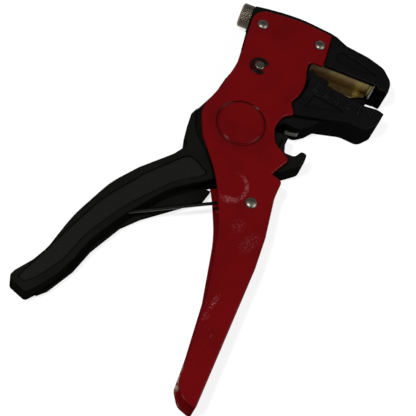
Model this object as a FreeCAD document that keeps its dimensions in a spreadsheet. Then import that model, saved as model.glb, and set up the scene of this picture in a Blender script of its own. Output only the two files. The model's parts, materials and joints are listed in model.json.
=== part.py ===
"""Automatic wire stripper with a sheet-steel frame handle, a squeezed lever and duckbill jaws.

The tool lies on its side. Z is the thickness, X is the direction of the wire and the mouth,
and the handles hang towards -Y. All sizes are in millimetres.
"""
import FreeCAD, Part
import math
import os
import Sketcher

V = FreeCAD.Vector
doc = FreeCAD.newDocument("wire_stripper")

# Named sizes
sheet = doc.addObject("Spreadsheet::Sheet", "Sizes")
VALUES = [
    ("jaw_width", 14.5), ("body_mid_z", "=jaw_width / 2"), ("frame_width", 13.2), ("sheet_gauge", 1.2),
    ("core_gap", 0.15), ("core_width", "=frame_width - 2 * sheet_gauge - 2 * core_gap"),
    ("lever_gap", 0.3), ("lever_width", "=frame_width - 2 * sheet_gauge - 2 * lever_gap"),
    ("carriage_width", 7.3), ("carriage_gap", 0.2), ("jaw_cavity", "=carriage_width + 2 * carriage_gap"),
    ("hub_gap", 0.2), ("hub_width", "=jaw_cavity - 2 * hub_gap"),
    ("stop_gap", 0.25), ("stop_width", "=jaw_cavity - 2 * stop_gap"),
    ("pin_end_gap", 0.15), ("drive_pin_len", "=jaw_cavity - 2 * pin_end_gap"),
    ("pivot_x", 3.3), ("pivot_y", 28.8), ("hinge_x", 2.3), ("hinge_y", 57.6),
    ("jaw_open_angle", 9.0), ("axle_dia", 8.0), ("pivot_fit", 0.05), ("hinge_dia", 4.0),
    ("hub_radius", 18.7), ("arm_gauge", 3.2), ("arm_gap", 0.05), ("drive_radius", 37.8), ("drive_angle", 10.0),
    ("drive_pin_dia", 3.0), ("notch_side_gap", 0.15), ("notch_end_gap", 0.4), ("fork_gauge", 1.5),
    ("rivet_head_dia", 4.6), ("rivet_head_high", 0.6), ("rivet_shank_dia", 3.2),
    ("ring_radius", 10.2), ("ring_wide", 0.9), ("ring_deep", 0.3),
    ("blade_gauge", 0.6), ("panel_deep", 0.5), ("recess_deep", 0.6), ("grip_inset", 1.25),
    ("knob_radius", 5.3), ("knob_len", 4.4), ("knob_y", 83.2), ("screw_dia", 2.4), ("screw_gap", 0.05),
    ("nut_gap", 0.15), ("nut_slot_width", 5.6), ("clip_gauge", 0.6), ("clip_groove_dia", 3.0), ("clip_dia", 7.8),
    ("cutter_gauge", 2.3), ("anvil_gauge", 2.8), ("seat_gap", 0.05), ("coil_radius", 3.6), ("wire_dia", 1.4),
]
for row, (name, value) in enumerate(VALUES, start=1):
    sheet.set("A%d" % row, name)
    sheet.set("B%d" % row, str(value))
    sheet.setAlias("B%d" % row, name)
doc.recompute()


def val(name):
    return float(getattr(sheet, name))


def rounded(points):
    """Lines and tangent arcs of a closed outline given as (x, y, corner radius)."""
    n = len(points)
    stops = []
    for i in range(n):
        a, p, b = (V(q[0], q[1], 0) for q in (points[i - 1], points[i], points[(i + 1) % n]))
        r = points[i][2] if len(points[i]) > 2 else 0
        u, w = (a - p).normalize(), (b - p).normalize()
        half = u.getAngle(w) / 2
        if r == 0 or half > 1.5:
            stops.append((p, None, p))
            continue
        back = min(r / math.tan(half), 0.48 * (a - p).Length, 0.48 * (b - p).Length)
        r = back * math.tan(half)
        s, e = p + u * back, p + w * back
        m = p + (u + w).normalize() * (r / math.sin(half) - r)
        stops.append((s, m, e))
    items = []
    for i in range(n):
        s, m, e = stops[i]
        if m is not None:
            items.append(Part.Arc(s, m, e))
        nxt = stops[(i + 1) % n][0]
        if (nxt - e).Length > 1e-4:
            items.append(Part.LineSegment(e, nxt))
    return items


def body(node):
    b = doc.addObject("PartDesign::Body", node)
    b.Label = node
    return b


def plane(b, role):
    return next(o for o in b.Origin.OriginFeatures if o.Role == role)


def sketch(b, name, items, height, role="XY_Plane"):
    """A sketch on one of the body's own origin planes, lifted by an expression."""
    s = b.newObject("Sketcher::SketchObject", name)
    s.AttachmentSupport = (plane(b, role), [""])
    s.MapMode = "FlatFace"
    s.setExpression("AttachmentOffset.Base.z", height)
    for item in items:
        s.addGeometry(item, False)
    return s


def pad(b, name, items, height, length, role="XY_Plane"):
    s = sketch(b, name + "_outline", items, height, role)
    f = b.newObject("PartDesign::Pad", name)
    f.Profile = s
    f.setExpression("Length", length)
    b.Tip = f
    doc.recompute()
    return f


def cut(b, name, items, top, depth, role="XY_Plane"):
    s = sketch(b, name + "_outline", items, top, role)
    f = b.newObject("PartDesign::Pocket", name)
    f.Profile = s
    f.setExpression("Length", depth)
    b.Tip = f
    doc.recompute()
    return f


def fillet(b, name, radius, wanted):
    """Round the edges of the tip whose middle point the test accepts."""
    base = b.Tip
    names = []
    for i, e in enumerate(base.Shape.Edges, start=1):
        m = e.valueAt((e.FirstParameter + e.LastParameter) / 2)
        if wanted(m, e):
            names.append("Edge%d" % i)
    if not names:
        return
    f = b.newObject("PartDesign::Fillet", name)
    f.Base = (base, names)
    f.Radius = radius
    doc.recompute()
    if not f.isValid() or f.Shape.isNull() or not f.Shape.isValid():
        b.removeObject(f)
        doc.removeObject(f.Name)
        b.Tip = base
        doc.recompute()
        print("left sharp:", b.Label, name)
        return
    b.Tip = f


def through(b, name, items):
    """Cut right through the tool, from side to side."""
    return cut(b, name, items, MID + " + Sizes.frame_width", "2 * Sizes.frame_width")


def circle(x, y, r):
    return Part.Circle(V(x, y, 0), V(0, 0, 1), r)


def box2(x0, y0, x1, y1):
    return rounded([(x0, y0), (x1, y0), (x1, y1), (x0, y1)])


def arc_slot(cx, cy, r, half, a0, a1):
    """Closed band of a circle between two angles in degrees, with round ends."""
    def at(rad, ang):
        return V(cx + rad * math.cos(math.radians(ang)), cy + rad * math.sin(math.radians(ang)), 0)
    mid = (a0 + a1) / 2
    def cap(ang, side):
        c = at(r, ang)
        t = math.radians(ang + 90 * side)
        return c + V(math.cos(t), math.sin(t), 0) * half
    return [Part.Arc(at(r + half, a0), at(r + half, mid), at(r + half, a1)),
            Part.Arc(at(r + half, a1), cap(a1, 1), at(r - half, a1)),
            Part.Arc(at(r - half, a1), at(r - half, mid), at(r - half, a0)),
            Part.Arc(at(r - half, a0), cap(a0, -1), at(r + half, a0))]


PX, PY = val("pivot_x"), val("pivot_y")
HX, HY = val("hinge_x"), val("hinge_y")
MID = "Sizes.body_mid_z"
FRONT_RIVET, REAR_RIVET = (23.3, 78.2), (-2.5, 77.7)
HANDLE_RIVET = (18.2, -3.7)

# Sheet-steel frame: two cheeks and the folded back of the handle
CHEEK = [(-7.9, 84.2, 6.5), (12, 86.5, 60), (27.1, 84.8, 0.9), (27.6, 68.8, 1.0), (21.2, 68.9, 2.2),
         (21.6, 63.4, 1.5), (22.9, 58.2, 12), (22.4, 52.0, 12), (19.9, 46.9, 0.8), (22.6, 41.7, 0.8),
         (18.6, 39.0, 5), (16.6, 32.5, 9), (19.2, 25.8, 6), (26.8, 20.6, 1.6), (22.0, 11.9, 0.6),
         (27.0, 10.2, 1.8), (26.3, 2.0, 20), (28.1, -16, 60), (28.2, -30, 90), (24.2, -91, 1.0),
         (18.2, -88.8, 5), (14.9, -83.4, 5), (15.0, -70, 60), (13.9, -46, 90), (9.4, -17.5, 60),
         (1.5, 2.6, 60), (-9.6, 17.6, 14), (-14.0, 28.8, 12), (-9.5, 42.5, 40), (-6.6, 56, 40)]
frame = body("frame_channel")
pad(frame, "cheeks", rounded(CHEEK), MID + " - Sizes.frame_width / 2", "Sizes.frame_width")
INSIDE = [(-30, 100), (40, 100), (40, 9.2), (25.8, 9.2), (25.1, 2.0), (26.9, -16), (27.0, -30),
          (22.9, -95), (-30, -95)]
fillet(frame, "bends", 2.0, lambda m, e: -89 < m.y < 10.3 and m.x > 23.9
       and (m.z < 0.7 or m.z > 13.8))
cut(frame, "inside", rounded(INSIDE), MID + " + Sizes.frame_width / 2 - Sizes.sheet_gauge",
    "Sizes.frame_width - 2 * Sizes.sheet_gauge")
HOLES = [circle(x, y, val("rivet_shank_dia") / 2) for x, y in (FRONT_RIVET, REAR_RIVET, HANDLE_RIVET)]
HOLES.append(circle(HX, HY, val("hinge_dia") / 2))
through(frame, "rivet_holes", HOLES)
RING = [circle(PX, PY, val("ring_radius")), circle(PX, PY, val("ring_radius") - val("ring_wide"))]
cut(frame, "near_ring", RING, MID + " + Sizes.frame_width / 2", "Sizes.ring_deep")
RING = [circle(PX, PY, val("ring_radius")), circle(PX, PY, val("ring_radius") - val("ring_wide"))]
cut(frame, "far_ring", RING, MID + " - Sizes.frame_width / 2 + Sizes.ring_deep", "Sizes.ring_deep")

# Upper jaw moulding, held between the cheeks, with a thick nose in front of them
ujaw = body("upper_jaw")
CORE = [(-8.5, 85.4, 0.4), (40, 85.4), (40, 69.3), (24, 69.3, 1.0), (22, 71.6, 1.0), (-7.2, 71.6),
        (-7.4, 66.5), (-8.6, 66.5)]
pad(ujaw, "core", rounded(CORE), MID + " - Sizes.core_width / 2", "Sizes.core_width")
NOSE = [(27.3, 85.4), (28.9, 85.2, 3), (34.2, 82.6, 5), (44.6, 81.1, 12), (52.2, 78.6, 6),
        (57.0, 73.2, 6), (57.0, 67.3, 0.8), (52.3, 67.9), (51.9, 69.2), (27.85, 69.4)]
pad(ujaw, "nose", rounded(NOSE), MID + " - Sizes.jaw_width / 2", "Sizes.jaw_width")
BEYOND = [(27.85, 90), (70, 90), (70, 64), (57.0, 64), (57.0, 73.2, 6), (52.2, 78.6, 6),
          (44.6, 81.1, 12), (34.2, 82.6, 5), (28.9, 85.2, 3), (28.0, 85.4)]
through(ujaw, "nose_top", rounded(BEYOND))
cut(ujaw, "carriage_bay", rounded([(-7.3, 60), (51.4, 60), (51.4, 76.0, 0.8), (-7.3, 76.0)]),
    MID + " + Sizes.jaw_cavity / 2", "Sizes.jaw_cavity")
cut(ujaw, "nut_slot", box2(-2.0, 74, 16.0, 84.95), MID + " + Sizes.nut_slot_width / 2", "Sizes.nut_slot_width")
through(ujaw, "rivet_bores", [circle(x, y, val("rivet_shank_dia") / 2) for x, y in (FRONT_RIVET, REAR_RIVET)])
UPPER_RECESS = [(31.4, 76.6, 1.6), (32.8, 79.2, 1.6), (52.0, 73.7, 0.5), (46.5, 73.0, 6), (32.6, 73.0, 1.2)]
cut(ujaw, "near_recess", rounded(UPPER_RECESS), "Sizes.jaw_width", "Sizes.recess_deep")
cut(ujaw, "far_recess", rounded(UPPER_RECESS), "Sizes.recess_deep", "Sizes.recess_deep")
bore = ujaw.newObject("Sketcher::SketchObject", "screw_bore_outline")
bore.AttachmentSupport = (plane(ujaw, "YZ_Plane"), [""])
bore.MapMode = "FlatFace"
bore.AttachmentOffset = FreeCAD.Placement(V(0, 0, -9), FreeCAD.Rotation())
bore.addGeometry(circle(val("knob_y"), val("body_mid_z"), val("screw_dia") / 2 + val("screw_gap")), False)
hole = ujaw.newObject("PartDesign::Pocket", "screw_bore")
hole.Profile = bore
hole.Length = 28
hole.Reversed = True
ujaw.Tip = hole
doc.recompute()
fillet(ujaw, "nose_edges", 0.5, lambda m, e: m.x > 29 and m.y > 66.9 and (m.z < 0.01 or m.z > 14.49)
       and not (32 < m.x < 51 and 72.5 < m.y < 79.3 and m.y < 81 and abs(m.y - 75.5) < 3.6))

# Lower jaw moulding in its own frame: hinge at the origin, mouth along X
ljaw = body("lower_jaw")
JAW_CORE = [(-4.2, 4.2, 4.1), (20.8, 6.2), (30, 6.2), (36, -6.8), (32.6, -9.6, 2), (30.3, -13.6, 4),
            (27.0, -17.0, 4), (20.6, -17.4, 1.5), (18.6, -20.6, 1.0), (14.5, -20.6, 2), (-4.2, -4.2, 4.1)]
pad(ljaw, "core", rounded(JAW_CORE), MID + " - Sizes.core_width / 2", "Sizes.core_width")
JAW_NOSE = [(20.6, 7.4, 0.4), (21.7, 2.5, 8), (21.4, -3.5, 8), (19.6, -8.3, 0.5), (22.8, -12.6, 0.8),
            (35.5, -7.2, 8), (43.5, -3.6, 8), (51.6, -3.0, 4), (54.9, 2.4, 3), (55.1, 8.3, 0.4),
            (53.1, 8.7), (51.4, 8.7, 0.5), (46.5, 7.4, 2)]
pad(ljaw, "nose", rounded(JAW_NOSE), MID + " - Sizes.jaw_width / 2", "Sizes.jaw_width")
cut(ljaw, "carriage_bay", rounded([(-12, 30), (49.2, 30), (49.2, 2.6, 0.8), (22.2, 2.6), (22.2, -30),
                                   (-12, -30)]), MID + " + Sizes.jaw_cavity / 2", "Sizes.jaw_cavity")
cut(ljaw, "anvil_seat", rounded([(22.3, -9.4), (27.6, -9.4), (28.4, -22), (22.3, -22)]),
    MID + " + Sizes.anvil_gauge / 2 + Sizes.seat_gap", "Sizes.anvil_gauge + 2 * Sizes.seat_gap")
through(ljaw, "hinge_bore", [circle(0, 0, val("hinge_dia") / 2 + val("pivot_fit"))])
JAW_RECESS = [(25.6, 0.2, 0.4), (42.2, 0.2, 0.6), (24.6, -7.2, 0.4)]
cut(ljaw, "near_recess", rounded(JAW_RECESS), "Sizes.jaw_width", "Sizes.recess_deep")
cut(ljaw, "far_recess", rounded(JAW_RECESS), "Sizes.recess_deep", "Sizes.recess_deep")
fillet(ljaw, "nose_edges", 0.5, lambda m, e: m.x > 24 and m.y < 8.2 and e.Length > 0.8
       and (m.z < 0.01 or m.z > 14.49)
       and not (m.y > 7.3 and m.x < 48) and not (24.4 < m.x < 42.5 and -5.5 < m.y < 0.5
                                                and m.y > (m.x - 25) * 0.44 - 7.4))

# Squeezed lever: grip, hub and the hook of the wire cutter, one moulding
lever = body("lever")
LEVER = [(-8.3, 51, 1.5), (-10.5, 40.5, 20), (-17.0, 25.4, 2.5), (-16.2, 18.3, 10), (-15.4, 14.4, 3),
         (-13.9, 11.2, 2.5), (-17.4, 5.6, 8), (-28.4, -5.7, 30), (-36.6, -16.4, 40), (-45.0, -35.5, 60),
         (-49.0, -51.4, 20), (-52.2, -58.0, 10), (-57.0, -64.6, 3), (-58.3, -67.9, 2), (-50.1, -71.2, 1.8),
         (-46.0, -66.3, 6), (-41.6, -59.4, 10), (-38.4, -51.8, 20), (-35.6, -42.0, 40),
         (-26.4, -26.2, 40), (-14.4, -9.8, 40), (2.2, 2.4, 30), (14, 7.4, 20), (25.8, 15.6, 3),
         (33.0, 21.6, 4), (33.2, 27.0, 1.3), (30.6, 27.2, 1.2), (28.6, 23.9, 2), (24.2, 23.9, 0.8),
         (23.3, 27.6, 1), (24.0, 33.4, 1.6), (17.6, 32.2, 3), (14.5, 37.5, 6), (4, 46, 6), (-5, 51, 2)]
pad(lever, "moulding", rounded(LEVER), MID + " - Sizes.lever_width / 2", "Sizes.lever_width")
# The hub and the cam lobe beside it run between the side walls of the lower jaw
for side, top in (("near", MID + " + Sizes.lever_width / 2 + 0.1"), ("far", MID + " - Sizes.hub_width / 2")):
    cut(lever, side + "_hub_face", [circle(PX, PY, val("hub_radius"))], top,
        "(Sizes.lever_width - Sizes.hub_width) / 2 + 0.1")
    cut(lever, side + "_lobe_face", rounded([(8, 30), (26, 30), (26, 60), (-12, 60), (-12, 47.5), (8, 47.5)]),
        top, "(Sizes.lever_width - Sizes.hub_width) / 2 + 0.1")
through(lever, "axle_bore", [circle(PX, PY, val("axle_dia") / 2 + val("pivot_fit"))])
cut(lever, "arm_slot", rounded([(-14, 60), (-7.5, 38, 3), (-6.3, 26, 4), (3.3, 19.2, 6), (12.9, 26, 4),
                                (14.5, 33, 3), (30, 60)]), MID + " + Sizes.arm_gauge / 2", "Sizes.arm_gauge")
SPRING_SLOT = [(1.0, 8.5, 2), (-12.2, -1.4, 20), (-25.6, -16.2, 40), (-34.6, -30.0, 60),
               (-41.6, -47.6, 20), (-43.6, -56.5, 1.5), (-34, -62), (-20, -34), (6, -6), (16, 4)]
cut(lever, "spring_slot", rounded(SPRING_SLOT), MID + " + 2.6", "5.2")
PANEL = [(-55.4, -66.6, 1.0), (-50.6, -55.2, 15), (-46.4, -45.0, 30), (-37.6, -24.4, 50), (-25.4, -7.0, 50),
         (-13.8, 5.8, 3), (-11.0, 7.5, 2), (-7.6, 6.4, 4), (-1.6, 2.6, 1.2), (-4.2, 0.2, 2),
         (-13.2, -6.0, 50), (-27.4, -23.2, 50), (-37.4, -40.4, 50), (-41.4, -53.6, 20), (-48.0, -63.8, 8),
         (-52.0, -67.8, 1.2)]
cut(lever, "near_panel", rounded(PANEL), MID + " + Sizes.lever_width / 2", "Sizes.panel_deep")
cut(lever, "far_panel", rounded(PANEL), MID + " - Sizes.lever_width / 2 + Sizes.panel_deep",
    "Sizes.panel_deep")
cut(lever, "cutter_seat", rounded([(23.8, 20.5), (29.4, 20.5), (29.4, 30), (23.8, 30)]),
    MID + " + Sizes.cutter_gauge / 2 + Sizes.seat_gap", "Sizes.cutter_gauge + 2 * Sizes.seat_gap")

# Steel arm riveted into the hub, with an arc slot round the jaw's hinge pin
arm = body("lever_arm")
def polar(r, deg):
    return (PX + r * math.sin(math.radians(deg)), PY + r * math.cos(math.radians(deg)))
ARM = [polar(8.6, -150) + (6,), polar(8.6, -75) + (4,), polar(25, -13) + (3,), polar(34.5, -10.5) + (3,),
       polar(35.5, 4) + (2,), polar(41.2, 5.5) + (2.3,), polar(41.2, 14.5) + (2.3,), polar(35.5, 17) + (2,),
       polar(34.5, 27) + (3,), polar(25, 30) + (3,), polar(8.6, 75) + (4,), polar(8.6, 150) + (6,)]
pad(arm, "plate", rounded(ARM), MID + " - Sizes.arm_gauge / 2 + Sizes.arm_gap",
    "Sizes.arm_gauge - 2 * Sizes.arm_gap")
through(arm, "axle_bore", [circle(PX, PY, val("axle_dia") / 2 + val("pivot_fit"))])
through(arm, "hinge_slot", arc_slot(PX, PY, math.hypot(HX - PX, HY - PY), val("hinge_dia") / 2 + 0.4, 69.8, 94.2))
through(arm, "pin_hole", [circle(*polar(val("drive_radius"), val("drive_angle")), val("drive_pin_dia") / 2)])


def pin(node, x, y, dia, z0, length):
    b = body(node)
    pad(b, "shank", [circle(x, y, dia / 2)], z0, length)
    return b


pin("drive_pin", *polar(val("drive_radius"), val("drive_angle")), val("drive_pin_dia"),
    MID + " - Sizes.drive_pin_len / 2", "Sizes.drive_pin_len")
pin("lever_axle", PX, PY, val("axle_dia"), MID + " - Sizes.frame_width / 2 + Sizes.sheet_gauge",
    "Sizes.frame_width - 2 * Sizes.sheet_gauge")


def rivet(node, x, y, shank, head, z_low, z_high, high):
    """A shank with a low domed head on each cheek."""
    b = body(node)
    pad(b, "shank", [circle(0, 0, shank / 2)], str(z_low), str(z_high - z_low))
    pad(b, "near_head", [circle(0, 0, head / 2)], str(z_high), str(high))
    pad(b, "far_head", [circle(0, 0, head / 2)], str(z_low - high), str(high))
    fillet(b, "domes", high * 0.92, lambda m, e: (m.z > z_high + high - 0.01 or m.z < z_low - high + 0.01))
    b.Placement = FreeCAD.Placement(V(x, y, 0), FreeCAD.Rotation())
    doc.recompute()
    return b


FACE_HIGH = val("body_mid_z") + val("frame_width") / 2
FACE_LOW = val("body_mid_z") - val("frame_width") / 2
rivet("head_rivet_front", *FRONT_RIVET, val("rivet_shank_dia"), val("rivet_head_dia"), FACE_LOW, FACE_HIGH,
      val("rivet_head_high"))
rivet("head_rivet_rear", *REAR_RIVET, val("rivet_shank_dia"), val("rivet_head_dia"), FACE_LOW, FACE_HIGH,
      val("rivet_head_high"))
rivet("handle_rivet", *HANDLE_RIVET, val("rivet_shank_dia"), 4.9, FACE_LOW, FACE_HIGH, val("rivet_head_high"))

# Jaw hinge pin, flush on the far cheek, with a groove for the clip on the near one
hinge = pin("jaw_hinge_pin", HX, HY, val("hinge_dia"), MID + " - Sizes.frame_width / 2",
            "Sizes.frame_width + 1.2")
cut(hinge, "clip_groove", [circle(HX, HY, val("clip_dia") / 2), circle(HX, HY, val("clip_groove_dia") / 2)],
    MID + " + Sizes.frame_width / 2 + Sizes.clip_gauge", "Sizes.clip_gauge")
fillet(hinge, "round_end", 0.5, lambda m, e: m.z > 15.0)
clip = body("e_clip")
pad(clip, "ring", [circle(HX, HY, val("clip_dia") / 2), circle(HX, HY, val("clip_groove_dia") / 2)], MID + " + Sizes.frame_width / 2",
    "Sizes.clip_gauge")
through(clip, "mouth", rounded([(HX + 0.1, HY - 0.6), (HX + 4.6, HY + 2.9), (HX + 4.9, HY - 4.5)]))
through(clip, "windows", arc_slot(HX, HY, 2.45, 0.45, 100, 165) + arc_slot(HX, HY, 2.45, 0.45, 195, 262))

# Upper blade carriage of plated strip: plate, bent-down front and a fork for the drive pin
DX, DY = polar(val("drive_radius"), val("drive_angle"))
ucar = body("upper_blade_carriage")
pad(ucar, "plate", rounded([(6.5, 74.2), (50.4, 74.2, 1.4), (50.4, 70.4), (49.2, 70.4), (49.2, 73.0, 0.3),
                            (6.5, 73.0)]), MID + " - Sizes.carriage_width / 2", "Sizes.carriage_width")
NOTCH = val("drive_pin_dia") / 2 + val("notch_side_gap")
PIN_TOP = PY + val("drive_radius") + val("drive_pin_dia") / 2 + val("notch_end_gap")
pad(ucar, "fork", rounded([(6.5, 73.6), (14.0, 73.6), (13.4, 63.8, 0.6), (DX + NOTCH, 63.8), (DX + NOTCH, PIN_TOP, 1.5),
                           (DX - NOTCH, PIN_TOP, 1.5), (DX - NOTCH, 63.8), (6.5, 63.8, 0.6)]),
    MID + " - Sizes.carriage_width / 2", "Sizes.fork_gauge")
ublade = body("upper_blade")
BLADE_X = 50.4
pad(ublade, "blade", rounded([(BLADE_X, 74.0), (BLADE_X + val("blade_gauge"), 74.0),
                              (BLADE_X + val("blade_gauge"), 70.2), (BLADE_X, 69.6)]),
    MID + " - Sizes.carriage_width / 2", "Sizes.carriage_width")

# Lower blade carriage and blade, in the lower jaw's frame
lcar = body("lower_blade_carriage")
pad(lcar, "plate", rounded([(3.0, 4.4), (47.2, 4.4, 1.4), (47.2, 8.2), (46.0, 8.2), (46.0, 5.6, 0.3), (3.0, 5.6)]),
    MID + " - Sizes.carriage_width / 2", "Sizes.carriage_width")
cut(lcar, "arm_gap", box2(0, 0, 18.5, 8), MID + " + Sizes.carriage_width / 2 - Sizes.fork_gauge",
    "Sizes.carriage_width - Sizes.fork_gauge")
TILT = math.radians(val("jaw_open_angle"))
JX = (DX - HX) * math.cos(TILT) - (DY - HY) * math.sin(TILT)
PIN_LOW = DY - HY - val("drive_pin_dia") / 2 - val("notch_end_gap")
pad(lcar, "fork", rounded([(3.0, 5.0), (9.4, 5.0), (9.4, 12.2, 0.6), (JX + NOTCH, 12.2), (JX + NOTCH, PIN_LOW, 1.5),
                           (JX - NOTCH, PIN_LOW, 1.5), (JX - NOTCH, 12.2), (3.0, 12.2, 0.6)]),
    MID + " + Sizes.carriage_width / 2 - Sizes.fork_gauge", "Sizes.fork_gauge")
lblade = body("lower_blade")
LOW_BLADE_X = 47.2
pad(lblade, "blade", rounded([(LOW_BLADE_X, 4.8), (LOW_BLADE_X + val("blade_gauge"), 4.8),
                              (LOW_BLADE_X + val("blade_gauge"), 8.4), (LOW_BLADE_X, 9.0)]),
    MID + " - Sizes.carriage_width / 2", "Sizes.carriage_width")

# Gripping pads with cross grooves
ugrip = body("upper_grip")
def nose_line(x):
    return 67.9 - (x - 52.3) * 0.6 / 4.7


UTEETH = [(52.4, nose_line(52.4))]
for i in range(5):
    UTEETH += [(52.4 + 0.9 * i, nose_line(52.4 + 0.9 * i) - 0.5), (52.85 + 0.9 * i, nose_line(52.85 + 0.9 * i) - 0.5),
               (53.05 + 0.9 * i, nose_line(53.05 + 0.9 * i) - 0.15)]
pad(ugrip, "pad", rounded(UTEETH[:-1] + [(56.6, nose_line(56.6))]), "Sizes.grip_inset",
    "Sizes.jaw_width - 2 * Sizes.grip_inset")
lgrip = body("lower_grip")
LTEETH = []
for i in range(4):
    LTEETH += [(54.8 - 0.8 * i, 9.0), (54.8 - 0.8 * i - 0.4, 9.0), (54.8 - 0.8 * i - 0.6, 8.75)]
pad(lgrip, "pad", rounded([(54.8, 8.36)] + LTEETH[:-1] + [(52.0, 8.7), (53.1, 8.7)]), "Sizes.grip_inset",
    "Sizes.jaw_width - 2 * Sizes.grip_inset")

# Length stop in the mouth of the lower jaw, with thumb ridges on top
stop = body("length_stop")
RIDGES = []
for i in range(9):
    RIDGES += [(27.6 - i, 11.6), (27.3 - i, 12.0), (26.9 - i, 12.0)]
pad(stop, "block", rounded([(18.4, 6.2, 0.4), (28.8, 6.2, 0.4), (28.6, 11.6, 0.3)] + RIDGES + [(18.4, 11.6, 0.5)]),
    MID + " - Sizes.stop_width / 2", "Sizes.stop_width")



def turned(node, name, profile, axis_y, axis_z):
    """A solid turned about a line along X; profile points are (x, radius)."""
    b = body(node)
    s = b.newObject("Sketcher::SketchObject", name + "_outline")
    s.AttachmentSupport = (plane(b, "XY_Plane"), [""])
    s.MapMode = "FlatFace"
    s.AttachmentOffset = FreeCAD.Placement(V(0, axis_y, axis_z), FreeCAD.Rotation())
    for item in rounded(profile):
        s.addGeometry(item, False)
    f = b.newObject("PartDesign::Revolution", name)
    f.Profile = s
    f.ReferenceAxis = (s, ["H_Axis"])
    f.Angle = 360
    b.Tip = f
    doc.recompute()
    return b


# Knurled adjusting knob with its screw along X
KR, KL, SR = val("knob_radius"), val("knob_len"), val("screw_dia") / 2
turned("adjust_knob", "knob", [(-13.3, SR), (-13.3, KR - 1.0), (-12.5, KR), (-13.3 + KL, KR),
                               (-13.3 + KL, SR)], val("knob_y"), val("body_mid_z"))
turned("adjust_screw", "screw", [(-13.0, 0), (-13.0, SR), (17.5, SR), (18.0, SR - 0.5), (18.0, 0)],
       val("knob_y"), val("body_mid_z"))
nut = body("adjust_nut")
pad(nut, "block", rounded([(4, 79.6), (10, 78.4), (10, 84.8), (4, 84.8)]),
    MID + " - Sizes.nut_slot_width / 2 + Sizes.nut_gap", "Sizes.nut_slot_width - 2 * Sizes.nut_gap")
s = nut.newObject("Sketcher::SketchObject", "thread_outline")
s.AttachmentSupport = (plane(nut, "YZ_Plane"), [""])
s.MapMode = "FlatFace"
s.addGeometry(circle(val("knob_y"), val("body_mid_z"), val("screw_dia") / 2 + val("screw_gap")), False)
f = nut.newObject("PartDesign::Pocket", "thread")
f.Profile = s
f.Length = 20
f.Reversed = True
nut.Tip = f

# Wire cutter: a blade in the lever's notch and an anvil under the lower jaw
cutter = body("cutter_blade")
pad(cutter, "blade", rounded([(23.85, 20.6), (29.35, 20.6), (29.35, 24.9), (27, 24.2, 2), (23.85, 24.6)]),
    MID + " - Sizes.cutter_gauge / 2", "Sizes.cutter_gauge")
anvil = body("cutter_anvil")
pad(anvil, "plate", rounded([(22.4, -9.5), (27.5, -9.5), (27.8, -16.6, 1), (24.4, -18.0, 0.5), (22.4, -18.0, 0.5)]),
    MID + " - Sizes.anvil_gauge / 2", "Sizes.anvil_gauge")

# Torsion spring of the handles: a coil round the rivet and a long leg in the lever's slot
WR, CR = val("wire_dia") / 2, val("coil_radius")
TURNS = 3
coil_h = TURNS * (val("wire_dia") + 0.2)
helix = Part.makeHelix(val("wire_dia") + 0.2, coil_h, CR)
profile = Part.Wire(Part.makeCircle(WR, V(CR, 0, 0), V(0, 1, 0)))
coil = Part.Wire(helix.Edges).makePipeShell([profile], True, True)
leg_dir = V(-52.9, -29.4, 0).normalize()
leg = Part.makeCylinder(WR, 54, V(CR, 0, coil_h), V(0, 1, 0))
stub = Part.makeCylinder(WR, 9, V(CR, 0, 0), V(0, -1, 0))
spring_shape = coil.fuse([leg, stub]).removeSplitter()
spring = doc.addObject("Part::Feature", "handle_spring")
spring.Label = "handle_spring"
spring.Shape = spring_shape
spring_turn = math.degrees(math.atan2(leg_dir.y, leg_dir.x)) - 90
spring.Placement = FreeCAD.Placement(V(HANDLE_RIVET[0], HANDLE_RIVET[1], 8.9 - coil_h),
                                     FreeCAD.Rotation(V(0, 0, 1), spring_turn))

# Lower jaw parts stand in the world with the jaw open
OPEN = FreeCAD.Placement(V(HX, HY, 0), FreeCAD.Rotation(V(0, 0, 1), -val("jaw_open_angle")))
for part in (ljaw, lcar, lblade, lgrip, stop, anvil):
    part.Placement = OPEN

# The origin lies below the middle of the whole tool
TO_ORIGIN = FreeCAD.Placement(V(-0.1, 1.05, 0), FreeCAD.Rotation())
NODES = [o for o in doc.Objects if o.isDerivedFrom("PartDesign::Body")] + [spring]
for o in NODES:
    o.Placement = TO_ORIGIN.multiply(o.Placement)
doc.recompute()
bad = [o.Name for o in doc.Objects if "Invalid" in o.State or "Error" in o.State]
for o in NODES:
    if o.Shape.isNull() or not o.Shape.isValid() or len(o.Shape.Solids) != 1:
        bad.append(o.Label)
if bad:
    raise RuntimeError("not built: " + ", ".join(bad))
os.makedirs("parts", exist_ok=True)
for o in NODES:
    o.Shape.exportStep("parts/%s.step" % o.Label)
    b = o.Shape.BoundBox
    print("%-22s x %.1f %.1f y %.1f %.1f z %.2f %.2f" % (o.Label, b.XMin, b.XMax, b.YMin, b.YMax, b.ZMin, b.ZMax))
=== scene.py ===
"""Looks of the automatic wire stripper: materials, moulded scale, knurled knob, wear, light and camera."""
import json
import math

import bmesh
import bpy
from mathutils import Matrix, Vector


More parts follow.
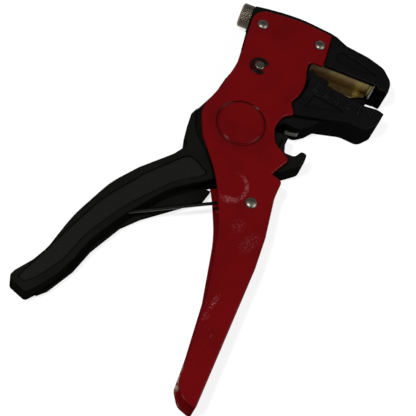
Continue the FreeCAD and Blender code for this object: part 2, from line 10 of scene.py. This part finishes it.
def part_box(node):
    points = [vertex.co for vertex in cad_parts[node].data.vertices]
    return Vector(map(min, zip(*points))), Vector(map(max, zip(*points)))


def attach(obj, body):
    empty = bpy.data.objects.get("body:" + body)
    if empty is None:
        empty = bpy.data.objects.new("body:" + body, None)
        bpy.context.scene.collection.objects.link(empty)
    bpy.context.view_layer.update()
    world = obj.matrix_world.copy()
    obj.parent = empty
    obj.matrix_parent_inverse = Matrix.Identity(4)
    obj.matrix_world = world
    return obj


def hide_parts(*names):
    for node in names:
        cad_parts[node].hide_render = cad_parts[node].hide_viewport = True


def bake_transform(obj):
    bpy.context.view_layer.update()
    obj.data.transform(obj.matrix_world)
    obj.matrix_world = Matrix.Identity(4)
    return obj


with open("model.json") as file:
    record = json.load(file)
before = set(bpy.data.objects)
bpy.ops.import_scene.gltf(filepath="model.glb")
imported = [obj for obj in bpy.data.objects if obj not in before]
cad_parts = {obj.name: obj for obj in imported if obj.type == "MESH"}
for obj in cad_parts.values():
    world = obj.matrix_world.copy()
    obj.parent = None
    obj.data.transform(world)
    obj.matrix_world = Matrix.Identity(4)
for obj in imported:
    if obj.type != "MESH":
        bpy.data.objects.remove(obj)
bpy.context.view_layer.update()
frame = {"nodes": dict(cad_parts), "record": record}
nodes = frame["nodes"]
MM = 0.001

# Places in the row frame, in millimetres
HINGE = (2.2, 58.65)
AXLE = (3.2, 29.85)
JAW_TOP = 14.5
LEVER_MIDDLE = 7.25
LEVER_HALF = 5.1
JAW_TILT = math.radians(-9.0)


def rgb(r, g, b):
    return (r, g, b, 1.0)


def grey(value):
    return rgb(value, value, value)


def shade(colour, factor):
    return rgb(*(c * factor for c in colour[:3]))


BLACK = grey(0.0)
WHITE = grey(1.0)


class Nodes:
    """Short way to add nodes to a tree."""

    def __init__(self, tree):
        self.tree = tree

    def feed(self, socket, value):
        """Links an output to a socket, or sets a constant on it."""
        if hasattr(value, "is_output"):
            self.tree.links.new(value, socket)
        else:
            socket.default_value = value

    def add(self, kind, inputs=None, **settings):
        node = self.tree.nodes.new(kind)
        for key, value in settings.items():
            setattr(node, key, value)
        for key, value in (inputs or {}).items():
            self.feed(node.inputs[key], value)
        return node

    def calc(self, operation, a, b=0.0):
        return self.add("ShaderNodeMath", {0: a, 1: b}, operation=operation).outputs[0]

    def times(self, a, b):
        return self.calc("MULTIPLY", a, b)

    def apart(self, value, centre):
        """How far a value lies from a centre, either way."""
        return self.calc("ABSOLUTE", self.calc("SUBTRACT", value, centre))

    def ramp(self, value, low, high, start=BLACK, end=WHITE):
        node = self.add("ShaderNodeValToRGB", {"Fac": value})
        first, last = node.color_ramp.elements
        first.position = low
        last.position = high
        first.color = start
        last.color = end
        return node.outputs["Color"]

    def mix(self, factor, a, b):
        return self.add("ShaderNodeMix", {0: factor, 6: a, 7: b}, data_type="RGBA").outputs[2]


class Surface(Nodes):
    """A material with the nodes that its looks need."""

    def __init__(self, name):
        self.mat = bpy.data.materials.new(name)
        self.mat.use_nodes = True
        super().__init__(self.mat.node_tree)
        self.shader = self.tree.nodes["Principled BSDF"]
        self.place = self.add("ShaderNodeTexCoord").outputs["Object"]

    def set(self, **inputs):
        """Feeds the shader's own sockets, named with underscores for spaces."""
        for key, value in inputs.items():
            self.feed(self.shader.inputs[key.replace("_", " ")], value)

    def height(self):
        return self.add("ShaderNodeSeparateXYZ", {0: self.place}).outputs["Z"]

    def moved(self, vector, **settings):
        inputs = {key.capitalize(): value for key, value in settings.items()}
        return self.add("ShaderNodeMapping", {"Vector": vector, **inputs}).outputs["Vector"]

    def noise(self, scale, detail=3.0, vector=None):
        inputs = {"Scale": scale, "Detail": detail, "Roughness": 0.55, "Vector": vector or self.place}
        return self.add("ShaderNodeTexNoise", inputs).outputs["Fac"]

    def upright(self):
        """1 on a face that lies flat, up or down, and 0 on one that stands."""
        normal = self.add("ShaderNodeNewGeometry").outputs["Normal"]
        return self.calc("ABSOLUTE", self.add("ShaderNodeSeparateXYZ", {0: normal}).outputs["Z"])

    def crease_shade(self, reach):
        """Painted shade in the inner corners: 1 on open ground, towards 0 in a groove."""
        return self.add("ShaderNodeAmbientOcclusion", {"Distance": reach}, samples=6).outputs["AO"]

    def skin(self, height, strength, distance, radius):
        """A fine relief over softened corners, as a moulding or a painted sheet has them."""
        soft = self.add("ShaderNodeBevel", {"Radius": radius}, samples=6).outputs["Normal"]
        relief = {"Strength": strength, "Distance": distance, "Height": height, "Normal": soft}
        return self.add("ShaderNodeBump", relief).outputs["Normal"]

    def coat(self, weight, rough, normal):
        """A thin gloss on the flat faces only, which a light from above catches."""
        flat = self.ramp(self.upright(), 0.10, 0.5, BLACK, grey(weight))
        self.set(Coat_Weight=flat, Coat_Roughness=rough, Coat_Normal=normal, Specular_IOR_Level=0.0)


def panel_floor(mat, middle, half):
    """1 on the floor of a sunk panel, a little inside the two faces of a piece, and 0 elsewhere."""
    out = mat.times(mat.apart(mat.height(), middle), 1 / half)
    under_face = mat.ramp(out, 0.96, 0.975, WHITE, BLACK)
    over_core = mat.ramp(out, 0.84, 0.86)
    flat = mat.ramp(mat.upright(), 0.6, 0.9)
    return mat.times(mat.times(under_face, over_core), flat)


def plastic(name, colour, rough, grain_scale, grain, edge=0.35 * MM, panel=None):
    """Black moulding; panel is the middle height and half the thickness of a piece with sunk panels."""
    mat = Surface(name)
    body = mat.mix(mat.ramp(mat.noise(90.0, 4.0), 0.45, 0.75), colour, shade(colour, 1.35))
    if panel:
        grit = mat.mix(mat.ramp(mat.noise(2200.0, 2.0), 0.35, 0.70), rgb(0.0060, 0.0060, 0.0052),
                       rgb(0.0135, 0.0135, 0.0118))
        body = mat.mix(panel_floor(mat, *panel), body, grit)
    grained = mat.skin(mat.noise(grain_scale, 2.0), grain, 0.0001, edge)
    # Painted shade: the colour darkens towards 0.12 of itself in creases and inner corners.
    clean = mat.ramp(mat.crease_shade(1.0 * MM), 0.68, 0.97)
    mat.set(Base_Color=mat.mix(clean, shade(colour, 0.12), body), Roughness=rough, Normal=grained)
    mat.coat(0.06, rough - 0.08, grained)
    return mat.mat


def metal(name, colour, rough, grain_scale=900.0, grain=0.15, edge=0.15 * MM, stretch=(1, 1, 1)):
    """Bare or plated steel; stretch makes its grain finer along one axis."""
    mat = Surface(name)
    fine = mat.noise(grain_scale, 3.0, mat.moved(mat.place, scale=stretch))
    mat.set(Metallic=1.0, Base_Color=mat.mix(mat.ramp(fine, 0.3, 0.8), colour, shade(colour, 0.72)),
            Roughness=mat.ramp(fine, 0.2, 0.9, grey(rough), grey(rough + 0.15)),
            Normal=mat.skin(fine, grain, 0.00005, edge))
    return mat.mat


def painted_frame():
    """Red enamel with the crescent scuff, the rub marks and the scratches that the photograph shows."""
    mat = Surface("red_enamel")
    red, dark, pale = rgb(0.122, 0.0022, 0.0030), rgb(0.098, 0.0020, 0.0028), rgb(0.27, 0.075, 0.082)

    def distance(x, y, reach_x, reach_y, turn):
        """Distance from a point on the sheet's face, in turned and stretched millimetres."""
        there = mat.moved(mat.place, location=(-x * MM, -y * MM, 0))
        turned = mat.moved(there, rotation=(0, 0, -turn))
        flat = mat.moved(turned, scale=(1 / (reach_x * MM), 1 / (reach_y * MM), 0))
        return mat.add("ShaderNodeVectorMath", {0: flat}, operation="LENGTH").outputs["Value"]

    def near(*spot):
        return mat.ramp(distance(*spot), 0.45, 1.0, WHITE, BLACK)

    colour = mat.mix(mat.ramp(mat.noise(60.0), 0.4, 0.7), red, dark)
    breakup = mat.ramp(mat.noise(950.0, 6.0), 0.42, 0.62)
    # The crescent: a ring's band, kept to its lower right by a wide spot, and a scuff at its foot
    band = mat.ramp(mat.apart(distance(8.0, 1.6, 1.0, 1.0, 0.0), 6.6), 0.5, 1.7, WHITE, BLACK)
    crescent = mat.times(mat.times(band, near(13.0, -0.4, 9.5, 9.5, 0.0)), breakup)
    foot = mat.times(near(9.4, -4.6, 4.2, 2.0, 0.25), breakup)
    scuff = mat.times(mat.calc("MAXIMUM", crescent, foot), 0.62)
    colour = mat.mix(scuff, colour, pale)
    # Fine scratches along the handle, and specks
    slanted = mat.moved(mat.place, rotation=(0, 0, 0.9), scale=(1, 12, 1))
    handle = mat.ramp(distance(17.0, -52.0, 9.0, 30.0, 0.0), 0.4, 1.0, WHITE, BLACK)
    scratches = mat.times(mat.ramp(mat.noise(150.0, 2.0, slanted), 0.70, 0.76), handle)
    colour = mat.mix(mat.times(scratches, 0.30), colour, pale)
    specks = mat.ramp(mat.noise(900.0, 1.0), 0.80, 0.83)
    colour = mat.mix(mat.times(specks, 0.25), colour, pale)
    # Rubbed spots, each with how strongly it shows
    for spot, amount in (((16.3, -14.0, 3.2, 4.0, 0.0), 0.30), ((22.6, -19.5, 3.5, 6.5, -0.4), 0.34),
                         ((17.4, -47.6, 1.3, 4.6, -0.2), 0.9), ((16.1, -54.5, 1.6, 2.6, -0.3), 0.6),
                         ((21.0, -61.0, 1.0, 1.0, 0.0), 0.8)):
        rub = mat.times(near(*spot), mat.ramp(mat.noise(1300.0, 5.0), 0.50, 0.66))
        colour = mat.mix(mat.times(rub, amount), colour, pale)
    # Bare metal at the far edge of the handle's end
    far = mat.ramp(mat.times(mat.height(), 250.0), 0.45, 0.60, WHITE, BLACK)
    bare = mat.times(near(14.0, -77.0, 2.6, 8.5, 0.1), mat.ramp(mat.noise(600.0, 5.0), 0.42, 0.55))
    colour = mat.mix(mat.times(bare, far), colour, rgb(0.45, 0.36, 0.26))
    # Painted shade in the groove of the embossed ring round the axle and in the creases
    painted_groove_shade = mat.apart(distance(*AXLE, 1.0, 1.0, 0.0), 10.2)
    colour = mat.mix(mat.ramp(painted_groove_shade, 0.18, 0.42, grey(0.75), BLACK), colour, rgb(0.012, 0.001, 0.001))
    # Painted shade: the red darkens towards near black in the creases and inner corners.
    painted_crease_shade = mat.ramp(mat.crease_shade(0.8 * MM), 0.45, 0.9, grey(0.7), BLACK)
    colour = mat.mix(painted_crease_shade, colour, rgb(0.03, 0.001, 0.001))
    wavy = mat.skin(mat.noise(240.0, 2.0), 0.05, 0.0001, 1.1 * MM)
    mat.set(Base_Color=colour, Roughness=mat.ramp(scuff, 0.0, 0.4, grey(0.34), grey(0.6)), Normal=wavy)
    mat.coat(0.22, 0.14, wavy)
    return mat.mat


def plated():
    """Yellow passivated strip: olive and pinkish bronze run into each other."""
    mat = Surface("yellow_passivated_strip")
    olive, bronze = rgb(0.215, 0.17, 0.060), rgb(0.23, 0.140, 0.075)
    colour = mat.mix(mat.ramp(mat.noise(95.0, 2.0), 0.40, 0.62), olive, bronze)
    colour = mat.mix(mat.ramp(mat.noise(260.0), 0.55, 0.8), colour, rgb(0.11, 0.08, 0.03))
    # Painted shade: the strip darkens nearly to black where other parts close round it, within 4 mm.
    colour = mat.mix(mat.ramp(mat.crease_shade(4.0 * MM), 0.25, 0.62), rgb(0.020, 0.014, 0.006), colour)
    mat.set(Metallic=1.0, Base_Color=colour,
            Roughness=mat.ramp(mat.noise(300.0), 0.2, 0.9, grey(0.30), grey(0.45)),
            Normal=mat.skin(mat.noise(140.0, 2.0), 0.25, 0.0003, 0.2 * MM))
    return mat.mat


MATS = {
    "red_paint": painted_frame(),
    "black_jaw": plastic("black_jaw_moulding", grey(0.0042), 0.40, 1500.0, 0.10),
    "black_grip": plastic("black_grip_moulding", rgb(0.0050, 0.0050, 0.0045), 0.50, 1500.0, 0.25,
                          panel=(LEVER_MIDDLE * MM, LEVER_HALF * MM)),
    "black_stop": plastic("black_stop_moulding", rgb(0.0045, 0.0045, 0.0038), 0.45, 1500.0, 0.10, 0.15 * MM),
    "moulded_scale": plastic("moulded_scale", grey(0.016), 0.40, 1500.0, 0.05, 0.04 * MM),
    "grip_pad": plastic("grooved_pad", grey(0.0045), 0.5, 1500.0, 0.10, 0.1 * MM),
    "yellow_plating": plated(),
    "blade_steel": metal("ground_blade_steel", rgb(0.21, 0.20, 0.18), 0.22, 1200.0, 0.1, 0.05 * MM,
                         (1, 8, 1)),
    "rivet_steel": metal("bright_rivet_steel", rgb(0.205, 0.19, 0.155), 0.30, 500.0, 0.0),
    "plain_steel": metal("plain_steel", rgb(0.30, 0.29, 0.27), 0.35),
    "knurled_steel": metal("knurled_steel", rgb(0.15, 0.128, 0.092), 0.28, 700.0, 0.1, 0.08 * MM),
    "dark_spring_steel": metal("blackened_spring_steel", rgb(0.030, 0.030, 0.026), 0.30, 700.0, 0.1),
    "spring_wire": metal("spring_wire", rgb(0.035, 0.035, 0.031), 0.25, 700.0, 0.1),
}
slot_of = {part["node"]: part["material_slot"] for part in frame["record"]["subparts"]}
for name, obj in nodes.items():
    obj.data.materials.clear()
    obj.data.materials.append(MATS[slot_of[name]])

# Painted shade: the cutter's anvil takes the blackened steel instead of its own steel, so that it stays as
# dark as the shaded slot it stands in
nodes["cutter_anvil"].data.materials[0] = MATS["dark_spring_steel"]


def new_object(name, data):
    obj = bpy.data.objects.new(name, data)
    bpy.context.scene.collection.objects.link(obj)
    return obj


def mesh_object(name, verts, faces, material, smooth=False):
    mesh = bpy.data.meshes.new(name)
    mesh.from_pydata(verts, [], faces)
    mesh.validate()
    mesh.update()
    mesh.materials.append(material)
    for face in mesh.polygons:
        face.use_smooth = smooth
    return new_object(name, mesh)


def dressed(obj, body):
    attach(obj, body)
    return obj


def circle(radii):
    """Points round a circle, evenly spaced, one for each radius given."""
    turns = [2 * math.pi * k / len(radii) for k in range(len(radii))]
    return [(r * math.cos(a), r * math.sin(a)) for r, a in zip(radii, turns)]


def prism(name, outline, z_low, z_high, material):
    """A flat outline in the XY plane, in millimetres, with a thickness along Z."""
    n = len(outline)
    turning = sum(outline[k - 1][0] * outline[k][1] - outline[k][0] * outline[k - 1][1] for k in range(n))
    if turning < 0:
        outline = outline[::-1]
    verts = [(x * MM, y * MM, z * MM) for z in (z_low, z_high) for x, y in outline]
    faces = [tuple(reversed(range(n))), tuple(range(n, 2 * n))]
    faces += [(k, (k + 1) % n, n + (k + 1) % n, n + k) for k in range(n)]
    return mesh_object(name, verts, faces, material)


# Knurled knob: a diamond pattern cut into the rim, replacing the plain solid
def knurled_knob():
    lo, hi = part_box("adjust_knob")
    front = hi.x + 0.9 * MM
    cy, cz = (lo.y + hi.y) / 2, (lo.z + hi.z) / 2
    radius, bore = (hi.y - lo.y) / 2, 1.3 * MM
    knurl_depth, rear_bevel, front_bevel = 0.32 * MM, 1.2 * MM, 0.5 * MM
    knurl_start, knurl_end = lo.x + 0.7 * MM, front - 0.35 * MM
    around, along = 96, 14

    def knurled(k, j):
        """Radius on the pattern, whose diamonds are four steps wide."""
        ridge = (abs((k + j) % 4 - 2) + abs((k - j) % 4 - 2)) / 4.0
        return radius - knurl_depth + knurl_depth * ridge

    profile = [(lo.x, [bore] * around), (lo.x, [radius - rear_bevel] * around)]
    for j in range(along + 1):
        x = knurl_start + (knurl_end - knurl_start) * j / along
        profile.append((x, [knurled(k, j) for k in range(around)]))
    profile += [(front, [radius - front_bevel] * around), (front, [bore] * around)]
    verts = [(x, cy + u, cz + v) for x, radii in profile for u, v in circle(radii)]
    rings = [j * around for j in range(len(profile))]
    faces = [(a + k, a + (k + 1) % around, b + (k + 1) % around, b + k)
             for a, b in zip(rings, rings[1:] + rings[:1]) for k in range(around)]
    knob = mesh_object("knurled_knob", verts, faces, MATS["knurled_steel"])
    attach(knob, "adjuster")
    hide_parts("adjust_knob")


knurled_knob()


def rivet_domes(node):
    """The rivet with properly domed heads: a turned profile from the near tip to the far one."""
    lo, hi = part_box(node)
    cx, cy, head = (lo.x + hi.x) / 2, (lo.y + hi.y) / 2, (hi.x - lo.x) / 2
    near_dome, far_dome, shank, rim = 1.05 * MM, 0.58 * MM, 1.6 * MM, head * 0.985
    face_near, face_far = hi.z - 0.6 * MM, lo.z + 0.6 * MM
    around, steps = 48, 9
    quarter = [math.radians(90) * k / steps for k in range(1, steps + 1)]
    profile = [(head * math.sin(a), face_near + near_dome * math.cos(a)) for a in quarter]
    profile += [(rim, face_near), (shank, face_near), (shank, face_far), (rim, face_far)]
    profile += [(head * math.sin(a), face_far - far_dome * math.cos(a)) for a in reversed(quarter)]
    verts = [(cx, cy, face_near + near_dome)]
    verts += [(cx + u, cy + v, z) for radius, z in profile for u, v in circle([radius] * around)]
    verts.append((cx, cy, face_far - far_dome))
    faces = [(0, 1 + k, 1 + (k + 1) % around) for k in range(around)]
    for j in range(len(profile) - 1):
        a, b = 1 + j * around, 1 + (j + 1) * around
        faces += [(a + k, b + k, b + (k + 1) % around, a + (k + 1) % around) for k in range(around)]
    a, tip = 1 + (len(profile) - 1) * around, len(verts) - 1
    faces += [(a + k, tip, a + (k + 1) % around) for k in range(around)]
    rivet = mesh_object(node + "_domed", verts, faces, MATS["rivet_steel"], smooth=True)
    rivet.data.set_sharp_from_angle(angle=math.radians(50))
    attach(rivet, "frame")
    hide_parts(node)


for rivet_name in ("head_rivet_front", "head_rivet_rear", "handle_rivet"):
    rivet_domes(rivet_name)


# Upper jaw: the moulding with the wider bay that the plated strip runs in
def upper_jaw_with_bay():
    mesh = nodes["upper_jaw"].data.copy()
    clean = bmesh.new()
    clean.from_mesh(mesh)
    bmesh.ops.remove_doubles(clean, verts=clean.verts, dist=1e-6)
    clean.to_mesh(mesh)
    clean.free()
    jaw = new_object("upper_jaw_moulding", mesh)
    bay = [(8.0, 61.0), (51.2, 61.0), (51.2, 73.35), (8.0, 73.35)]
    rear = [(-20.0, 80.0), (-8.25, 80.0), (-7.3, 68.2), (-6.9, 58.0), (-20.0, 58.0)]
    cutters = [prism("bay_cutter", bay, 1.95, 12.55, MATS["black_jaw"]),
               prism("rear_cutter", rear, -1.0, 16.0, MATS["black_jaw"])]
    for cutter in cutters:
        cut = jaw.modifiers.new(cutter.name, "BOOLEAN")
        cut.operation = "DIFFERENCE"
        cut.solver = "EXACT"
        cut.object = cutter
    bpy.context.view_layer.update()
    deps = bpy.context.evaluated_depsgraph_get()
    result = bpy.data.meshes.new_from_object(jaw.evaluated_get(deps))
    jaw.modifiers.clear()
    jaw.data = result
    for cutter in cutters:
        bpy.data.objects.remove(cutter)
    result.materials.clear()
    result.materials.append(MATS["black_jaw"])
    dressed(jaw, "frame")
    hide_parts("upper_jaw")


upper_jaw_with_bay()


# Torsion spring: a copy of its mesh, left where it lies, in place of the part
def spring_that_follows():
    wire = new_object("spring_following", nodes["handle_spring"].data.copy())
    lo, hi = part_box("handle_spring")
    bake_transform(wire)
    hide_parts("handle_spring")


spring_that_follows()

# Rim of the moulding above the cheeks
RIM = [(-8.3, 84.5), (-8.2, 86.9), (-7.7, 87.3), (-3.0, 88.1), (3.3, 88.85), (7.2, 89.15), (11.1, 89.3),
       (14.5, 89.2), (17.8, 88.9), (23.2, 88.3), (26.2, 88.0), (28.6, 87.3), (28.6, 84.5)]
dressed(prism("upper_jaw_rim", RIM, 1.9, 12.6, MATS["black_jaw"]), "frame")

# Far wall of the moulding, which closes the mouth behind the plated strip
FAR_WALL = [(28.7, 68.6), (41.0, 67.3), (50.4, 67.3), (51.0, 68.5), (53.5, 68.5), (53.5, 73.5), (28.7, 73.5)]
dressed(prism("upper_jaw_far_wall", FAR_WALL, 0.35, 1.9, MATS["black_jaw"]), "frame")

# Far flange of the lever's channel section, wider than the near face towards the spring
LEVER_FLANGE = [(-47.0, -67.0), (-43.5, -63.6), (-37.4, -52.5), (-34.0, -42.0), (-26.8, -28.3),
                (-20.7, -21.6), (-11.6, -14.1), (-4.2, -7.9), (0.0, -4.6), (1.5, 0.5), (-6.0, 1.0),
                (-17.0, -9.5), (-26.0, -20.0), (-34.0, -32.0), (-39.5, -46.0), (-45.0, -58.0)]
dressed(prism("lever_far_flange", LEVER_FLANGE, 2.16, 4.4, MATS["black_grip"]), "squeeze_lever")


# Plated strip in the mouth, and the steel edge at its front
def strip_ceiling():
    outline = [(22.8, 72.45), (50.3, 72.45), (50.3, 70.4), (49.2, 70.4), (49.2, 71.45), (22.8, 71.45)]
    ceiling = prism("upper_strip_ceiling", outline, 2.15, 12.35, MATS["yellow_plating"])
    dressed(ceiling, "upper_carriage")


def strip_flange():
    """The flange that hangs at the far side: a wall on a path in x and z, cut up at a slant in front."""
    path = [(22.9, 2.65), (29.0, 2.65), (36.0, 2.65), (42.0, 2.65), (43.2, 2.68), (44.2, 2.76),
            (45.2, 2.95), (46.2, 3.10), (47.2, 3.15), (49.1, 3.15)]
    rows, wall = 6, 0.7
    top, foot = 71.6, 67.45
    slant_from, slant_length, slant_rise = 43.5, 5.5, 2.2
    verts, faces = [], []
    for x, z in path:
        low = foot + max(0.0, x - slant_from) / slant_length * slant_rise
        for side in (-0.5, 0.5):
            verts += [(x * MM, (low + (top - low) * k / rows) * MM, (z + side * wall) * MM)
                      for k in range(rows + 1)]
    column = rows + 1
    last = (len(path) - 1) * 2 * column
    for a in range(0, last, 2 * column):
        b = a + 2 * column
        for k in range(rows):
            faces.append((a + k, a + k + 1, b + k + 1, b + k))
            faces.append((a + column + k, b + column + k, b + column + k + 1, a + column + k + 1))
        faces.append((a, b, b + column, a + column))
        faces.append((a + rows, a + column + rows, b + column + rows, b + rows))
    for a in (0, last):
        for k in range(rows):
            face = (a + k, a + column + k, a + column + k + 1, a + k + 1)
            faces.append(face[::-1] if a else face)
    flange = mesh_object("upper_strip_flange", verts, faces, MATS["yellow_plating"], smooth=True)
    flange.data.set_sharp_from_angle(angle=math.radians(40))
    dressed(flange, "upper_carriage")


def blade_front():
    tongue = [(50.3, 69.45), (50.3, 70.9), (50.9, 70.9), (50.9, 69.45)]
    edge = [(50.28, 69.3), (50.28, 70.15), (50.92, 70.15), (50.92, 69.6)]
    for name, outline, z_low, z_high in (("upper_blade_tongue", tongue, 3.6, 10.9),
                                         ("upper_blade_edge", edge, 0.6, 13.9)):
        dressed(prism(name, outline, z_low, z_high, MATS["blade_steel"]), "upper_carriage")


strip_ceiling()
strip_flange()
blade_front()


# Moulded scale on the lower jaw: raised millimetre lines and plain numbers
def jaw_point(x, y, z):
    """A point given in the lower jaw's own frame, in millimetres, in the row frame."""
    c, s = math.cos(JAW_TILT), math.sin(JAW_TILT)
    return ((HINGE[0] + x * c - y * s) * MM, (HINGE[1] + x * s + y * c) * MM, z * MM)


def scale_lines(side):
    """Millimetre lines on one face of the jaw; side is 1 for the near face and -1 for the far one."""
    face_z = JAW_TOP if side > 0 else 0.0
    first_line, count = 50.2, 26
    half_width, height, slope, sunk = 0.24, 0.26, 0.2, 0.02
    long_foot, short_foot, line_top = 3.0, 4.2, 6.7
    verts, faces = [], []
    for i in range(count):
        x = first_line - i
        low = short_foot if i % 5 else long_foot
        for half, y0, y1, rise in ((half_width, low, line_top, -sunk),
                                   (half_width / 2, low + slope, line_top - slope, height)):
            corners = [(x - half, y0), (x + half, y0), (x + half, y1), (x - half, y1)]
            verts += [jaw_point(px, py, face_z + side * rise) for px, py in corners]
        b = 8 * i
        line = [(b + 4, b + 5, b + 6, b + 7)]
        line += [(b + k, b + (k + 1) % 4, b + 4 + (k + 1) % 4, b + 4 + k) for k in range(4)]
        faces += line if side > 0 else [face[::-1] for face in line]
    return verts, faces


def scale_numbers():
    """The numbers as raised letters, each beside its line, joined into one mesh."""
    made = []
    for text, x in (("25", 25.1), ("20", 30.3), ("15", 35.4), ("10", 40.3), ("5", 45.4)):
        letters = bpy.data.curves.new("number_" + text, "FONT")
        letters.body = text
        letters.size = 2.5 * MM
        letters.extrude = 0.16 * MM
        letters.bevel_depth = 0.03 * MM
        letters.align_x = "CENTER"
        letters.align_y = "CENTER"
        letters.resolution_u = 3
        number = new_object("number_" + text, letters)
        number.location = jaw_point(x, 1.9, JAW_TOP + 0.06)
        number.rotation_euler = (0, 0, JAW_TILT)
        made.append(number)
    bpy.context.view_layer.update()
    verts, faces = [], []
    for number in made:
        mesh = bpy.data.meshes.new_from_object(number)
        b = len(verts)
        verts += [tuple(number.matrix_world @ v.co) for v in mesh.vertices]
        faces += [tuple(b + i for i in face.vertices) for face in mesh.polygons]
        bpy.data.objects.remove(number)
    return verts, faces


for name, mesh in (("scale_lines_near", scale_lines(1)), ("scale_lines_far", scale_lines(-1)),
                   ("scale_numbers", scale_numbers())):
    dressed(mesh_object(name, *mesh, MATS["moulded_scale"]), "jaw")


# Floor and backdrop: white to the camera and in gloss, a plain pale floor to everything else
def floor_material():
    mat = bpy.data.materials.new("pale_floor")
    mat.use_nodes = True
    net = Nodes(mat.node_tree)
    net.tree.nodes.clear()
    ray = net.add("ShaderNodeLightPath")
    seen = net.calc("MAXIMUM", ray.outputs["Is Camera Ray"], ray.outputs["Is Glossy Ray"])
    pale = net.add("ShaderNodeBsdfDiffuse", {"Color": grey(0.55)})
    dim = net.add("ShaderNodeBsdfDiffuse", {"Color": grey(0.3)})
    glow = net.add("ShaderNodeEmission", {"Strength": 0.78})
    shown = net.add("ShaderNodeAddShader", {0: dim.outputs[0], 1: glow.outputs[0]})
    pick = net.add("ShaderNodeMixShader", {0: seen, 1: pale.outputs[0], 2: shown.outputs[0]})
    net.add("ShaderNodeOutputMaterial", {"Surface": pick.outputs[0]})
    return mat


def stage_floor():
    half, z = 1.2, -0.0002
    corners = [(-half, -half, z), (half, -half, z), (half, half, z), (-half, half, z)]
    mesh_object("floor", corners, [(0, 1, 2, 3)], floor_material())


def studio_world():
    """A pale horizon like the backdrop and a dim ceiling over it, and plain white to the camera."""
    world = bpy.data.worlds.new("studio")
    bpy.context.scene.world = world
    world.use_nodes = True
    net = Nodes(world.node_tree)
    net.tree.nodes.clear()
    direction = net.add("ShaderNodeTexCoord").outputs["Generated"]
    up = net.add("ShaderNodeSeparateXYZ", {0: direction}).outputs["Z"]
    sky = net.ramp(up, 0.05, 0.45, grey(0.5), grey(0.12))
    dim = net.add("ShaderNodeBackground", {"Color": sky, "Strength": 0.9})
    white = net.add("ShaderNodeBackground", {"Color": WHITE, "Strength": 1.0})
    camera_ray = net.add("ShaderNodeLightPath").outputs["Is Camera Ray"]
    pick = net.add("ShaderNodeMixShader", {0: camera_ray, 1: dim.outputs[0], 2: white.outputs[0]})
    net.add("ShaderNodeOutputWorld", {"Surface": pick.outputs[0]})


def area(name, place, aim, size, power):
    """A square lamp at a place, turned to a point, in metres and watts."""
    data = bpy.data.lights.new(name, "AREA")
    data.shape = "RECTANGLE"
    data.size = size
    data.size_y = size
    data.energy = power
    lamp = new_object(name, data)
    lamp.location = place
    lamp.rotation_euler = (Vector(aim) - Vector(place)).to_track_quat("-Z", "Y").to_euler()


stage_floor()
studio_world()
area("key", (-0.26, -0.22, 0.76), (0, 0, 0), 0.12, 5.0)
area("fill", (0.62, 0.02, 0.60), (0, 0.02, 0), 0.5, 3.6)

# Camera, from the scale lines, the ring and the depth lines of the photograph, then fitted to its outline
CAMERA_AT = Vector((-5.35, -228.01, 457.30)) * MM
RIGHT = Vector((0.93408, 0.31383, 0.17026))
UP = Vector((-0.35667, 0.84203, 0.40469))
FOCAL_PIXELS, PHOTO_PIXELS, SENSOR = 1255.7, 416.0, 36.0


def photo_camera():
    data = bpy.data.cameras.new("camera")
    data.sensor_width = SENSOR
    data.lens = SENSOR * FOCAL_PIXELS / PHOTO_PIXELS
    data.clip_start, data.clip_end = 0.05, 10.0
    camera = new_object("camera", data)
    back = RIGHT.cross(UP).normalized()
    turn = Matrix((RIGHT, UP, back)).transposed().to_4x4()
    camera.matrix_world = Matrix.Translation(CAMERA_AT) @ turn
    bpy.context.scene.camera = camera
    bpy.context.scene.view_settings.view_transform = "Standard"


photo_camera()
